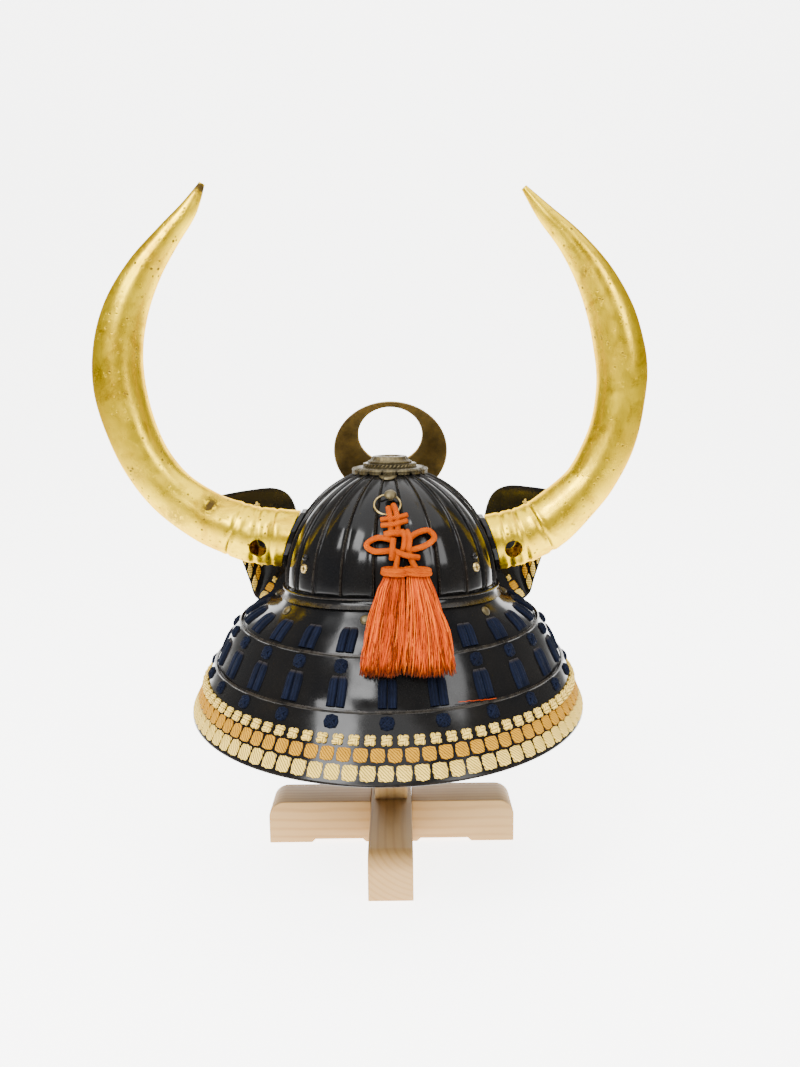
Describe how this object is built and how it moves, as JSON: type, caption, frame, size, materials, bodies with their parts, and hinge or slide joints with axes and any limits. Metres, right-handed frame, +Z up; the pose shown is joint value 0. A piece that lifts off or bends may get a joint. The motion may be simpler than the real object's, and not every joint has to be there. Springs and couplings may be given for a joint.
{
  "type": "kabuto helmet on wooden stand",
  "caption": "Samurai kabuto helmet: ribbed black bowl, laced neck guard with side flaps, gilt horns, moon crest disc, orange cord knot with tassels, on a cross-base wooden stand.",
  "frame": {"origin": "centre of the stand's cross base, on the floor", "axes": "+Z up, +Y towards the front of the helmet, so its back faces -Y and +X is to the right seen from behind"},
  "size_m": [0.5256, 0.3621, 0.6445],
  "materials": {
    "lacquer": "gloss",
    "old_brass": "aged",
    "gold_leaf": "satin",
    "bronze": "aged",
    "orange_cord": "woven",
    "pine": "bare"
  },
  "bodies": {
    "root": {"bowl": "lacquer", "waist_band": "lacquer", "visor": "lacquer", "neck_lame_1": "lacquer", "neck_lame_2": "lacquer", "neck_lame_3": "lacquer", "crown_collar": "old_brass", "crown_rope_tier": "old_brass", "crown_top_ring": "old_brass", "horn_left": "gold_leaf", "horn_right": "gold_leaf", "horn_washer_left": "lacquer", "horn_washer_right": "lacquer", "crest_disc": "bronze", "crest_holder": "old_brass", "bowl_grommet_1": "old_brass", "bowl_grommet_2": "old_brass", "bowl_grommet_3": "old_brass", "bowl_grommet_4": "old_brass", "bowl_knob_1": "lacquer", "bowl_knob_2": "lacquer", "bowl_knob_3": "lacquer", "bowl_knob_4": "lacquer", "band_rivet_1": "old_brass", "band_rivet_2": "old_brass", "band_rivet_3": "old_brass", "band_rivet_4": "old_brass", "band_rivet_5": "old_brass", "ring_stud": "old_brass", "cord_ring": "old_brass", "bow_knot": "orange_cord", "tassel_left": "orange_cord", "tassel_right": "orange_cord", "stand_bar_x": "pine", "stand_bar_y": "pine", "stand_post": "pine", "stand_head": "pine"}
  },
  "joints": []
}
